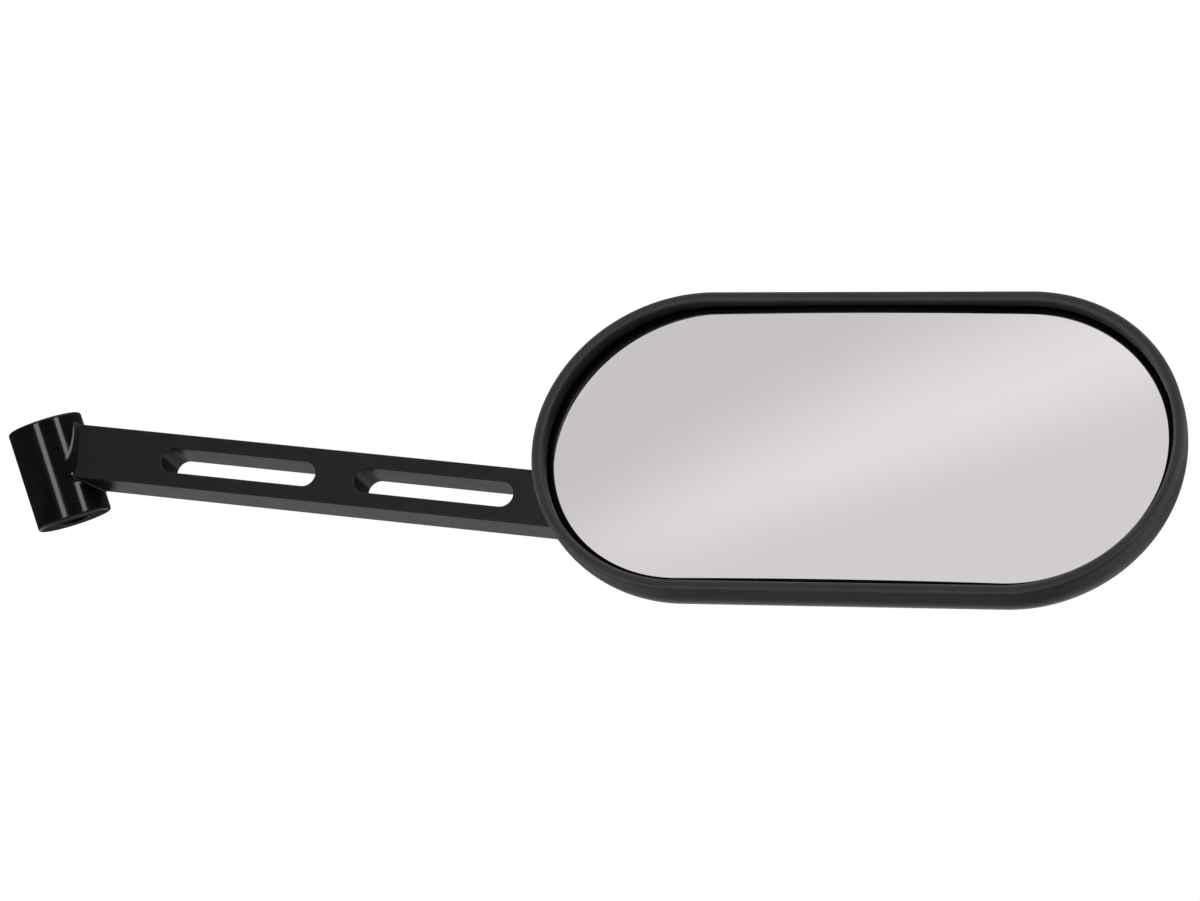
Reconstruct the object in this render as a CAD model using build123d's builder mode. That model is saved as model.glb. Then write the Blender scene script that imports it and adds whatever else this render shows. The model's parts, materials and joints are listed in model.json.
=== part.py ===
"""Oval motorcycle mirror on a slotted bar stem, with a ball joint behind the head.

The origin is the centre of the mounting collar's seat face. +X runs along the head, -Y points to
the rider and +Z is up. All lengths are in millimetres, all angles in degrees.
"""

import math
import os

from build123d import *

# Mounting collar: a turned round, leaning towards -X
collar_d = 22.0
collar_len = 30.0
collar_lean = 19.2
collar_edge = 0.8
screw_bore_d = 8.4
sink_d = 16.8
sink_angle = 90.0

# Stem bar: a flat bar with two slots, from the collar to behind the head
bar_h = 16.0
bar_t = 12.0
bar_edge = 0.4
bar_height = 20.7
bar_yaw = 4.4
bar_drop = 5.25
bar_twist = 19.6
bar_reach = 258.2
slot_w = 7.3
slot_len = 48.6
slot_web = 12.3
slot_start = 37.9
slot_count = 2
weld_leg = 1.5

# Ball stud and the hardware behind the bar
ball_d = 16.0
neck_d = 7.0
stud_reach = 25.3
hex_af = 13.0
hex_t = 5.0
shank_d = 8.0
shank_clear = 0.05
face_clear = 0.05
thread_clear = 0.02
washer_d = 16.0
washer_t = 1.6
washer_clear = 0.2
spring_washer_d = 14.8
spring_washer_t = 2.0
spring_washer_gap = 2.0
nut_af = 13.0
nut_t = 6.5
nut_bevel = 30.0
shank_tail = 2.0
shank_point = 0.8

# Ball seats and the plate that clamps them
seat_t = 2.4
seat_clear = 0.05
seat_open = 48.0
seat_edge = 4.0
crown_open = 15.0
plate_rise = 1.5
plate_t = 1.6
plate_r = 21.0
screw_circle_r = 17.0
screw_count = 4
screw_d = 4.0
screw_clear = 0.2
screw_len = 6.5
screw_head_d = 7.0
screw_head_t = 2.2
screw_head_round = 0.7

# Head: an oval shell with the glass pack set in its front
head_pitch = 27.4
head_cant = 0.5
head_rise = 6.7
glass_w = 164.8
glass_h = 78.9
glass_t = 2.0
glass_radius = 1200.0
glass_sink = 2.3
seal_w = 1.8
seal_grip = 1.0
seal_lip_t = 0.8
rim_w = 3.1
rim_round = 0.9
rim_rise = 24.4
side_depth = 4.8
head_depth = 32.4
shell_wall = 2.6
ledge_depth = 10.1
ledge_w = 2.2
boss_wall = 3.0
post_wall = 1.2
mouth_depth = 3.5
mouth_flare = 20.0
pad_t = 1.0
pad_inset = 2.0
carrier_skin = 2.0
carrier_rim = 8.0


def section_of(plane):
    """Half-plane for turned profiles: x is the radius, y runs along the plane's normal."""
    return Plane(plane.origin, x_dir=plane.x_dir, z_dir=-plane.y_dir)


def axis_of(plane):
    """The plane's normal as a turning axis."""
    return Axis(plane.origin, plane.z_dir)


def shifted(plane, x, y, z):
    """The same plane with its origin moved by local x, y and z."""
    return Plane(plane.from_local_coords(Vector(x, y, z)), x_dir=plane.x_dir, z_dir=plane.z_dir)


# Frames of the collar, the bar, the stud and the head, each from the one before
collar_plane = Plane.XY.rotated((0, -collar_lean, 0))
bar_x = Vector(1, 0, 0).rotate(Axis.Y, bar_drop).rotate(Axis.Z, -bar_yaw)
bar_z = Vector(0, -1, 0).rotate(Axis.X, -bar_twist).rotate(Axis.Y, bar_drop).rotate(Axis.Z, -bar_yaw)
bar_plane = Plane(collar_plane.from_local_coords(Vector(0, 0, bar_height)), x_dir=bar_x, z_dir=bar_z)
stud_plane = shifted(bar_plane, bar_reach, 0, bar_t / 2 + stud_reach)
head_x = Vector(1, 0, 0).rotate(Axis.Y, head_cant).rotate(Axis.X, -head_pitch)
head_z = Vector(0, -1, 0).rotate(Axis.X, -head_pitch)
head_plane = Plane(stud_plane.origin, x_dir=head_x, z_dir=head_z)
oval_plane = shifted(head_plane, 0, head_rise, 0)

# Sizes that follow from the driving ones
ball_r = ball_d / 2
seat_r = ball_r + seat_clear
pocket_r = seat_r + seat_t + seat_clear
half_straight = (glass_w - glass_h) / 2
opening_h = glass_h + 2 * seal_w
opening_w = glass_w + 2 * seal_w
blank_h = glass_h + 2 * seal_grip
blank_w = glass_w + 2 * seal_grip
rim_r = opening_h / 2 + rim_w
back_z = rim_rise - head_depth
ledge_z = rim_rise - ledge_depth
plate_top = plate_rise + plate_t
glass_centre = oval_plane.offset(rim_rise - glass_sink - glass_radius)
pad_radius = glass_radius - glass_t
tray_radius = pad_radius - pad_t
stack_z = -(stud_reach + bar_t + face_clear)
spring_z = stack_z - washer_t
nut_z = spring_z - spring_washer_t
tail_z = nut_z - nut_t - shank_tail


def loaf_half_section(plane, radius, top_z, side_z, bottom_z):
    """Half section of a domed oval: a straight side above a quarter ellipse."""
    with BuildSketch(section_of(plane)) as half:
        with BuildLine():
            Polyline((0, bottom_z), (0, top_z), (radius, top_z), (radius, side_z))
            EllipticalCenterArc((0, side_z), radius, side_z - bottom_z, start_angle=270, arc_size=90)
        make_face()
    return half.sketch


def loaf_full_section(plane, radius, top_z, side_z, bottom_z):
    """The same section from side to side, square to the long axis."""
    with BuildSketch(Plane(plane.origin, x_dir=plane.y_dir, z_dir=plane.x_dir)) as full:
        with BuildLine():
            Polyline((-radius, side_z), (-radius, top_z), (radius, top_z), (radius, side_z))
            EllipticalCenterArc((0, side_z), radius, side_z - bottom_z, start_angle=180, arc_size=180)
        make_face()
    return full.sketch


def loaf(plane, radius, top_z, side_z, bottom_z):
    """Domed oval: its section drawn along the straight, with half a turn of it at each end."""
    with BuildPart() as body:
        extrude(loaf_full_section(plane, radius, top_z, side_z, bottom_z), amount=half_straight, both=True)
        for side in (-1, 1):
            end_origin = plane.from_local_coords(Vector(side * half_straight, 0, 0))
            end_plane = Plane(end_origin, x_dir=plane.y_dir * -side, z_dir=plane.z_dir)
            end = loaf_half_section(end_plane, radius, top_z, side_z, bottom_z)
            revolve(end, axis=axis_of(end_plane), revolution_arc=180)
    return body.part


def zone_section(plane, inner_r, outer_r, from_angle, to_angle):
    """Section of a spherical zone; angles are counted from the equator towards the front."""
    with BuildSketch(section_of(plane)) as zone:
        with BuildLine():
            inner = CenterArc((0, 0), inner_r, from_angle, to_angle - from_angle)
            outer = CenterArc((0, 0), outer_r, from_angle, to_angle - from_angle)
            Line(inner @ 0, outer @ 0)
            Line(inner @ 1, outer @ 1)
        make_face()
    return zone.sketch


def hexagon(plane, across_flats):
    """A regular hexagon by its width across flats."""
    with BuildSketch(plane) as outline:
        RegularPolygon(across_flats / 2, 6, major_radius=False)
    return outline.sketch


os.makedirs("parts", exist_ok=True)

# Mounting collar, with the clearance bore and the seat for a countersunk screw
with BuildPart(collar_plane) as mount_collar:
    with BuildSketch(collar_plane):
        Circle(collar_d / 2)
    extrude(amount=collar_len)
    fillet(mount_collar.edges().filter_by(GeomType.CIRCLE), collar_edge)
    with Locations((0, 0, collar_len)):
        CounterSinkHole(screw_bore_d / 2, sink_d / 2, counter_sink_angle=sink_angle)
mount_collar.part.label = "mount_collar"
export_step(mount_collar.part, "parts/mount_collar.step")

# Stem bar, round at the stud's end and coped to the collar at the other
with BuildPart() as stem_bar:
    with BuildSketch(bar_plane):
        Rectangle(bar_reach, bar_h, align=(Align.MIN, Align.CENTER))
        with Locations((bar_reach, 0)):
            Circle(bar_h / 2)
    extrude(amount=bar_t / 2, both=True)
    broad_faces = stem_bar.faces().filter_by(bar_plane)
    chamfer(broad_faces.edges(), bar_edge)
    with BuildSketch(bar_plane):
        for i in range(slot_count):
            with Locations((slot_start + i * (slot_len + slot_web), 0)):
                SlotOverall(slot_len, slot_w, align=(Align.MIN, Align.CENTER))
        with Locations((bar_reach, 0)):
            Circle(shank_d / 2 + shank_clear)
    extrude(amount=bar_t, both=True, mode=Mode.SUBTRACT)
    with BuildSketch(collar_plane):
        Circle(collar_d / 2)
    extrude(amount=2 * collar_len, both=True, mode=Mode.SUBTRACT)
stem_bar.part.label = "stem_bar"
export_step(stem_bar.part, "parts/stem_bar.step")

# Weld that runs round the bar's end on the collar's wall
bar_end = Plane(bar_plane.origin, x_dir=bar_plane.z_dir, z_dir=bar_plane.x_dir)
with BuildPart() as weld_bead:
    with BuildSketch(bar_end):
        RectangleRounded(bar_t + 2 * weld_leg, bar_h + 2 * weld_leg, weld_leg)
    extrude(amount=collar_d)
    with BuildSketch(collar_plane):
        Circle(collar_d / 2 + weld_leg)
    extrude(amount=2 * collar_len, both=True, mode=Mode.INTERSECT)
    with BuildSketch(collar_plane):
        Circle(collar_d / 2)
    extrude(amount=2 * collar_len, both=True, mode=Mode.SUBTRACT)
    add(stem_bar.part, mode=Mode.SUBTRACT)
weld_bead.part.label = "weld_bead"
export_step(weld_bead.part, "parts/weld_bead.step")

# Ball stud: ball, neck and threaded shank turned in one, with a hexagon for the spanner
neck_angle = math.degrees(math.asin(neck_d / ball_d))
with BuildPart() as ball_stud:
    with BuildSketch(section_of(stud_plane)):
        with BuildLine():
            ball = CenterArc((0, 0), ball_r, 90, neck_angle - 180)
            Polyline(
                ball @ 1,
                (neck_d / 2, -stud_reach + hex_t / 2),
                (shank_d / 2, -stud_reach + hex_t / 2),
                (shank_d / 2, tail_z + shank_point),
                (shank_d / 2 - shank_point, tail_z),
                (0, tail_z),
                ball @ 0,
            )
        make_face()
    revolve(axis=axis_of(stud_plane))
    extrude(hexagon(stud_plane.offset(-stud_reach + face_clear), hex_af), amount=hex_t - face_clear)
ball_stud.part.label = "ball_stud"
export_step(ball_stud.part, "parts/ball_stud.step")

# Plain washer against the back of the bar
with BuildPart() as stud_washer:
    with BuildSketch(stud_plane.offset(stack_z)):
        Circle(washer_d / 2)
        Circle(shank_d / 2 + washer_clear, mode=Mode.SUBTRACT)
    extrude(amount=-washer_t)
stud_washer.part.label = "stud_washer"
export_step(stud_washer.part, "parts/stud_washer.step")

# Split spring washer
with BuildPart() as spring_washer:
    with BuildSketch(stud_plane.offset(spring_z)):
        Circle(spring_washer_d / 2)
        Circle(shank_d / 2 + shank_clear, mode=Mode.SUBTRACT)
        Rectangle(
            spring_washer_d, spring_washer_gap, align=(Align.MIN, Align.CENTER), mode=Mode.SUBTRACT
        )
    extrude(amount=-spring_washer_t)
spring_washer.part.label = "spring_washer"
export_step(spring_washer.part, "parts/spring_washer.step")

# Hexagon nut, its corners bevelled on both sides
nut_corner_r = nut_af / 2 / math.cos(math.pi / 6)
nut_bevel_h = (nut_corner_r - nut_af / 2) * math.tan(math.radians(nut_bevel))
with BuildPart() as stud_nut:
    extrude(hexagon(stud_plane.offset(nut_z), nut_af), amount=-nut_t)
    with BuildSketch(section_of(stud_plane)):
        with BuildLine():
            Polyline(
                (shank_d / 2 + thread_clear, nut_z),
                (nut_af / 2, nut_z),
                (nut_corner_r, nut_z - nut_bevel_h),
                (nut_corner_r, nut_z - nut_t + nut_bevel_h),
                (nut_af / 2, nut_z - nut_t),
                (shank_d / 2 + thread_clear, nut_z - nut_t),
                close=True,
            )
        make_face()
    revolve(axis=axis_of(stud_plane), mode=Mode.INTERSECT)
stud_nut.part.label = "stud_nut"
export_step(stud_nut.part, "parts/stud_nut.step")

# Plastic seats, each a zone of a hollow sphere round the ball
with BuildPart() as rear_seat:
    rear_zone = zone_section(head_plane, seat_r, seat_r + seat_t, seat_open - 90, -seat_edge)
    revolve(rear_zone, axis=axis_of(head_plane))
rear_seat.part.label = "rear_seat"
export_step(rear_seat.part, "parts/rear_seat.step")

with BuildPart() as front_seat:
    front_zone = zone_section(head_plane, seat_r, seat_r + seat_t, seat_edge, 90 - crown_open)
    revolve(front_zone, axis=axis_of(head_plane))
front_seat.part.label = "front_seat"
export_step(front_seat.part, "parts/front_seat.step")

# Retainer plate: a flat disc pressed into a dome over the front seat
dome_r = pocket_r + plate_t
inner_lift = math.degrees(math.asin(plate_rise / pocket_r))
outer_lift = math.degrees(math.asin(plate_top / dome_r))
with BuildPart(head_plane) as retainer_plate:
    with BuildSketch(section_of(head_plane)):
        with BuildLine():
            inner = CenterArc((0, 0), pocket_r, inner_lift, 90 - crown_open - inner_lift)
            outer = CenterArc((0, 0), dome_r, outer_lift, 90 - crown_open - outer_lift)
            Line(inner @ 1, outer @ 1)
            Polyline(outer @ 0, (plate_r, plate_top), (plate_r, plate_rise), inner @ 0)
        make_face()
    revolve(axis=axis_of(head_plane))
    with Locations((0, 0, plate_top)):
        with PolarLocations(screw_circle_r, screw_count, start_angle=180 / screw_count):
            Hole(screw_d / 2 + screw_clear)
retainer_plate.part.label = "retainer_plate"
export_step(retainer_plate.part, "parts/retainer_plate.step")

# Retainer screws, one node each
screw_spots = PolarLocations(screw_circle_r, screw_count, start_angle=180 / screw_count).locations
for number, spot in enumerate(screw_spots, start=1):
    screw_plane = shifted(head_plane, spot.position.X, spot.position.Y, plate_top)
    with BuildPart() as retainer_screw:
        with BuildSketch(screw_plane):
            Circle(screw_head_d / 2)
        extrude(amount=screw_head_t)
        fillet(retainer_screw.edges().group_by(axis_of(screw_plane))[-1], screw_head_round)
        with BuildSketch(screw_plane):
            Circle(screw_d / 2)
        extrude(amount=-screw_len)
    screw_name = f"retainer_screw_{number}"
    retainer_screw.part.label = screw_name
    export_step(retainer_screw.part, f"parts/{screw_name}.step")

# Hollow of the head shell: the dome's inside, less the ball boss and the screw posts.
# The shell is modelled on its own flat plane and set on the head's plane when it is done.
shell_plane = Plane.XY
shell_oval = shifted(shell_plane, 0, head_rise, 0)
with BuildPart() as shell_hollow:
    hollow_r = opening_h / 2 - ledge_w
    hollow_back = back_z + shell_wall
    add(loaf(shell_oval, hollow_r, ledge_z + ledge_depth, ledge_z, hollow_back))
    with BuildSketch(shell_plane.offset(plate_rise)):
        Circle(pocket_r + boss_wall)
        with PolarLocations(screw_circle_r, screw_count, start_angle=180 / screw_count):
            Circle(screw_d / 2 + post_wall)
    extrude(amount=-head_depth, mode=Mode.SUBTRACT)

# Head shell: rim, side wall, domed back, ball socket and screw posts, moulded in one
mouth_r = pocket_r * math.sin(math.radians(seat_open))
mouth_z = -pocket_r * math.cos(math.radians(seat_open))
boss_back = mouth_z - mouth_depth
with BuildPart() as head_shell:
    side_z = rim_rise - side_depth
    add(loaf(shell_oval, rim_r, rim_rise, side_z, back_z))
    with BuildSketch(shell_plane):
        Circle(pocket_r + boss_wall)
    extrude(amount=boss_back)
    with BuildSketch(shell_oval.offset(ledge_z)):
        SlotOverall(opening_w, opening_h)
    extrude(amount=ledge_depth, mode=Mode.SUBTRACT)
    add(shell_hollow.part, mode=Mode.SUBTRACT)
    fillet(head_shell.edges().group_by(axis_of(shell_plane))[-1], rim_round)
    with Locations(shell_plane):
        Sphere(pocket_r, mode=Mode.SUBTRACT)
    with BuildSketch(section_of(shell_plane)):
        with BuildLine():
            flare = mouth_r + head_depth * math.tan(math.radians(mouth_flare))
            Polyline((0, 0), (mouth_r, 0), (mouth_r, mouth_z), (flare, mouth_z - head_depth))
            Polyline((flare, mouth_z - head_depth), (0, mouth_z - head_depth), (0, 0))
        make_face()
    revolve(axis=axis_of(shell_plane), mode=Mode.SUBTRACT)
    with BuildSketch(shell_plane.offset(plate_rise)):
        with PolarLocations(screw_circle_r, screw_count, start_angle=180 / screw_count):
            Circle(screw_d / 2 + thread_clear)
    extrude(amount=plate_t - screw_len, mode=Mode.SUBTRACT)
shell_in_place = head_plane.location * head_shell.part
shell_in_place.label = "head_shell"
export_step(shell_in_place, "parts/head_shell.step")

# Convex glass of even thickness
with BuildPart() as mirror_glass:
    with BuildSketch(oval_plane.offset(ledge_z)):
        SlotOverall(blank_w, blank_h)
    extrude(amount=ledge_depth)
    with Locations(glass_centre):
        Sphere(glass_radius, rotation=(90, 0, 0), mode=Mode.INTERSECT)
        Sphere(pad_radius, rotation=(90, 0, 0), mode=Mode.SUBTRACT)
mirror_glass.part.label = "mirror_glass"
export_step(mirror_glass.part, "parts/mirror_glass.step")

# Foam sheet between the glass and its tray
with BuildPart() as adhesive_pad:
    with BuildSketch(oval_plane.offset(ledge_z)):
        SlotOverall(blank_w - 2 * pad_inset, blank_h - 2 * pad_inset)
    extrude(amount=ledge_depth)
    with Locations(glass_centre):
        Sphere(pad_radius, rotation=(90, 0, 0), mode=Mode.INTERSECT)
        Sphere(tray_radius, rotation=(90, 0, 0), mode=Mode.SUBTRACT)
adhesive_pad.part.label = "adhesive_pad"
export_step(adhesive_pad.part, "parts/adhesive_pad.step")

# Tray behind the glass: a curved skin on a rim that stands on the shell's ledge
with BuildPart() as tray_hollow:
    with BuildSketch(oval_plane.offset(ledge_z)):
        SlotOverall(blank_w - 2 * carrier_rim, blank_h - 2 * carrier_rim)
    extrude(amount=ledge_depth)
    with Locations(glass_centre):
        Sphere(tray_radius - carrier_skin, rotation=(90, 0, 0), mode=Mode.INTERSECT)

with BuildPart() as glass_carrier:
    with BuildSketch(oval_plane.offset(ledge_z)):
        SlotOverall(blank_w, blank_h)
    extrude(amount=ledge_depth)
    with Locations(glass_centre):
        Sphere(tray_radius, rotation=(90, 0, 0), mode=Mode.INTERSECT)
    add(tray_hollow.part, mode=Mode.SUBTRACT)
glass_carrier.part.label = "glass_carrier"
export_step(glass_carrier.part, "parts/glass_carrier.step")

# Rubber seal: a thin wall round the glass pack with a lip over the glass's edge
with BuildPart() as seal_core:
    with BuildSketch(oval_plane.offset(ledge_z)):
        SlotOverall(blank_w, blank_h)
    extrude(amount=ledge_depth)
    with Locations(glass_centre):
        Sphere(glass_radius, rotation=(90, 0, 0), mode=Mode.INTERSECT)

with BuildPart() as glass_seal:
    with BuildSketch(oval_plane.offset(ledge_z)):
        SlotOverall(opening_w, opening_h)
        SlotOverall(glass_w, glass_h, mode=Mode.SUBTRACT)
    extrude(amount=ledge_depth)
    with Locations(glass_centre):
        Sphere(glass_radius + seal_lip_t, rotation=(90, 0, 0), mode=Mode.INTERSECT)
    add(seal_core.part, mode=Mode.SUBTRACT)
glass_seal.part.label = "glass_seal"
export_step(glass_seal.part, "parts/glass_seal.step")
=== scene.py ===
"""Oval motorcycle mirror, dressed around its solids.

Every length is in metres, in the solids' own frame: the origin is the centre of the collar's seat
face, +X runs along the head, -Y points to the rider and +Z is up.
"""

import json
import math

import bmesh
import bpy
from bpy.props import FloatProperty, FloatVectorProperty, IntProperty, PointerProperty
from bpy.types import Operator, Panel, PropertyGroup
from mathutils import Matrix, Vector


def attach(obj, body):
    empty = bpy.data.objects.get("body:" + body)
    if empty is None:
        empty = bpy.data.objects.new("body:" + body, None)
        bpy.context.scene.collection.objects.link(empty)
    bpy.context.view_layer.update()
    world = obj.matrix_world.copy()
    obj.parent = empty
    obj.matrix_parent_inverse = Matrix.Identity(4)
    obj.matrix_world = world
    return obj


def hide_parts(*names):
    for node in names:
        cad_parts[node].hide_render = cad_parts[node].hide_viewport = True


bl_info = {
    "name": "Oval Motorcycle Mirror",
    "version": (1, 0, 0),
    "blender": (4, 5, 0),
    "location": "3D Viewport > Sidebar > Mirror",
    "description": "Builds the finished surfaces of an oval mirror on a slotted stem",
    "category": "Object",
}

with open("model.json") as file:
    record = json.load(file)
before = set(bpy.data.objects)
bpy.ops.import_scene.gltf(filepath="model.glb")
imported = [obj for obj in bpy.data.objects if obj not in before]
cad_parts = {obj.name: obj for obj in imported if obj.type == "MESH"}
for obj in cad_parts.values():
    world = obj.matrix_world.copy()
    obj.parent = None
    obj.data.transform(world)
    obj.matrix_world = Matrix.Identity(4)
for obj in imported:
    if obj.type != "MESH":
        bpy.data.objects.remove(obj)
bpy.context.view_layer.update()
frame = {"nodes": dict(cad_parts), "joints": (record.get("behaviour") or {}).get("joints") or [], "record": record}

JOINTS = {joint["name"]: joint for joint in frame["joints"]}
MOUNTS = {mount["name"]: mount for mount in frame["record"]["mounts"]}
BALL_CENTRE = Vector(JOINTS["head_roll"]["pos_m"])
STUD_AXIS = Vector(JOINTS["head_roll"]["axis"]).normalized()
HEAD_RIGHT = Vector(JOINTS["head_tilt"]["axis"]).normalized()
HEAD_UP = Vector(JOINTS["head_turn"]["axis"]).normalized()
HEAD_FRONT = HEAD_RIGHT.cross(HEAD_UP)
COLLAR_AXIS = Vector(MOUNTS["screw_bore"]["axis"]).normalized()
MERGE_DISTANCE = 1e-6
# A facet's sagitta: the outermost surfaces stay this far inside the solids' box
HAIR = 2e-5
SHARP_ANGLE = math.radians(32)

# Oval sweep: the crown radius of a piece that stays flat, the points round the shell and round the
# seal and the glass, and the points of the circle for each of these
FLAT_CROWN = 1e5
SHELL_POINTS = 400
GLASS_POINTS = 480
CIRCLE_FINENESS = 4.0
# Bevel of a hexagon's corners, a thread's half widths in pitches and its points in one turn
HEX_BEVEL = math.radians(30)
THREAD_ROOT = 0.45
THREAD_CREST = 0.08
THREAD_STEPS = 48
# Where the rim's flat face starts, in rounds from its edge, and the lip's rounds, in lip heights
RIM_FLAT = 1.2
LIP_ROUND_INSIDE = 0.55
LIP_ROUND_OUTSIDE = 0.45

# Noise that counts as no cloud and as full cloud, and how much finer dust is than pebbles
CLOUD_RANGE = (0.3, 0.7)
DUST_FINENESS = 2.7
# Pointiness at which the painted edge highlight begins and is full
EDGE_BEND = (0.507, 0.522)

WHITE = (1, 1, 1, 1)
# Floor: its middle along the head, its colours to the camera and to the light, its clouds' scale
FLOOR_CENTRE_X = 0.2
FLOOR_PALE = (0.86, 0.9)
FLOOR_BOUNCE = 0.24
FLOOR_CLOUDS = 3.0
# Where it turns white and where its glow fades, in shares of the shadow's radius, and that glow
WHITE_REACH = (0.4, 0.8)
GLOW_REACH = (1.0, 1.7)
GLOW_LEVELS = (0.68, 0.02)
# Studio in reflections: the axis of each region, the cosines between which it comes in, and levels
CEILING = ((0, 0, 1), 0.645, 0.725)
BAND_START = ((-0.3628, 0.2209, 0.9053), 0.6355, 0.6790)
BAND_END = ((-0.4328, 0.8386, 0.3309), -0.1229, -0.0200)
STUDIO_WALLS = 0.07
CEILING_FRONT = 0.78
CEILING_BAND = 0.918
CEILING_BACK = 0.697
# Lamps: the left one's share of the side power, and the watts that give a square metre a level of 1
LEFT_SHARE = 0.8
WATTS_PER_LEVEL = 4
# Width and height of the wall in front, in metres
WALL_SIZE = (20, 3.4)
# Camera: its sensor in millimetres, and the nearest and farthest that it sees in metres
SENSOR_WIDTH = 36
CAMERA_CLIP = (0.01, 100)


def length(name, description, millimetres):
    """A size that a user may change, in metres."""
    return FloatProperty(
        name=name,
        description=description,
        default=millimetres / 1000,
        min=0,
        precision=5,
        subtype="DISTANCE",
        unit="LENGTH",
    )


def angle(name, description, degrees):
    """An angle that a user may change, in radians."""
    return FloatProperty(
        name=name,
        description=description,
        default=math.radians(degrees),
        subtype="ANGLE",
        unit="ROTATION",
    )


def tint(name, description, colour):
    """A colour that a user may change."""
    return FloatVectorProperty(
        name=name, description=description, default=colour, min=0, max=1, size=3, subtype="COLOR"
    )


def power(name, description, watts):
    """A lamp's power that a user may change, in watts."""
    return FloatProperty(name=name, description=description, default=watts, unit="POWER")


class MIRROR_PG_stem(PropertyGroup):
    """Sizes of the collar, the bar and the weld between them."""

    collar_diameter: length("Collar Diameter", "Outside of the turned collar", 22)
    collar_length: length("Collar Length", "From the seat face to the upper end", 30)
    collar_round: length("Collar Edge Round", "Round on the collar's two ends", 0.8)
    bore_diameter: length("Bore Diameter", "Clearance hole for the screw", 8.4)
    sink_diameter: length("Sink Diameter", "Mouth of the countersunk seat", 16.8)
    bar_level: length("Bar Level", "Where the bar meets the collar's axis, above the seat", 20.7)
    bar_height: length("Bar Height", "Height of the bar's broad face", 16)
    bar_thickness: length("Bar Thickness", "From the bar's front to its back", 12)
    bar_round: length("Bar Edge Round", "Round along the bar's edges", 0.4)
    bar_start: length("Bar Start", "Inner end of the bar, inside the collar's wall", 8)
    slot_width: length("Slot Width", "Width of each slot", 7.3)
    slot_length: length("Slot Length", "Length of each slot, end to end", 48.6)
    slot_web: length("Slot Web", "Metal left between two slots", 12.3)
    slot_start: length("Slot Start", "From the collar's axis to the first slot", 37.9)
    slot_count: IntProperty(name="Slots", description="Slots along the bar", default=2, min=0)
    weld_leg: length("Weld Leg", "How far the weld reaches along the collar", 1.5)
    weld_run: length("Weld Run", "How far the weld reaches along the bar", 1.5)


class MIRROR_PG_joint(PropertyGroup):
    """Sizes of the ball stud, its fastening and the head's ball socket."""

    ball_diameter: length("Ball Diameter", "Ball that the head turns on", 16)
    neck_diameter: length("Neck Diameter", "Neck behind the ball", 7)
    stud_reach: length("Stud Reach", "From the bar's front to the ball's centre", 25.3)
    shank_diameter: length("Shank Diameter", "Threaded shank through the bar", 8)
    shank_tail: length("Shank Tail", "Thread that stands out of the nut", 2)
    shank_point: length("Shank Point", "Bevel on the shank's end", 0.8)
    shank_clear: length("Shank Clearance", "Room round the shank in the bar", 0.05)
    thread_pitch: length("Thread Pitch", "From one thread to the next", 1.25)
    thread_depth: length("Thread Depth", "From the crest to the root", 0.7)
    hex_width: length("Hexagon Width", "Stud's hexagon, across its flats", 13)
    hex_thickness: length("Hexagon Thickness", "Stud's hexagon, along the stud", 5)
    washer_diameter: length("Washer Diameter", "Plain washer behind the bar", 16)
    washer_thickness: length("Washer Thickness", "Plain washer behind the bar", 1.6)
    lock_diameter: length("Lock Washer Diameter", "Split washer under the nut", 14.8)
    lock_thickness: length("Lock Washer Thickness", "Split washer under the nut", 2)
    lock_gap: length("Lock Washer Gap", "Width of the split", 2)
    nut_width: length("Nut Width", "Nut, across its flats", 13)
    nut_thickness: length("Nut Thickness", "Nut, along the stud", 6.5)
    face_clear: length("Face Clearance", "Room between the bar's back and the washer", 0.05)
    socket_radius: length("Socket Radius", "Inside of the head's ball socket", 10.5)
    socket_wall: length("Socket Wall", "Wall of the socket's boss", 3)
    mouth_depth: length("Mouth Depth", "How far the boss stands behind the socket", 3.5)
    mouth_angle: angle("Mouth Angle", "Half angle of the socket's mouth", 48)
    mouth_flare: angle("Mouth Flare", "How far the mouth widens to the back", 20)
    seat_front: length("Seat Front", "Front end of the boss, ahead of the ball's centre", 1.5)


class MIRROR_PG_head(PropertyGroup):
    """Sizes of the oval shell, the seal and the glass."""

    rise: length("Rise", "Oval's centre above the ball", 6.7)
    glass_width: length("Glass Width", "Glass that shows, along the head", 164.8)
    glass_height: length("Glass Height", "Glass that shows, across the head", 78.9)
    glass_thickness: length("Glass Thickness", "Thickness of the glass", 2)
    glass_radius: length("Glass Radius", "Radius of the convex glass", 1200)
    glass_sink: length("Glass Sink", "From the rim's front down to the glass", 2.3)
    seal_width: length("Seal Width", "Seal that shows round the glass", 1.8)
    seal_grip: length("Seal Grip", "How far the seal's lip covers the glass", 1)
    seal_lip: length("Seal Lip", "How far the lip stands above the glass", 0.8)
    rim_width: length("Rim Width", "Front face of the shell's rim", 3.1)
    rim_round: length("Rim Round", "Round on the rim's edges", 0.9)
    rim_rise: length("Rim Rise", "From the ball's centre to the rim's front", 24.4)
    side_depth: length("Side Depth", "Straight side wall behind the rim", 4.8)
    depth: length("Head Depth", "From the rim's front to the back of the dome", 32.4)
    wall: length("Shell Wall", "Thickness of the dome", 2.6)
    ledge_depth: length("Ledge Depth", "From the rim's front to the ledge under the glass", 10.1)
    ledge_width: length("Ledge Width", "Ledge that the glass pack stands on", 2.2)
    boss_fillet: length("Boss Fillet", "Fillet between the dome and the socket's boss", 1.6)


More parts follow.
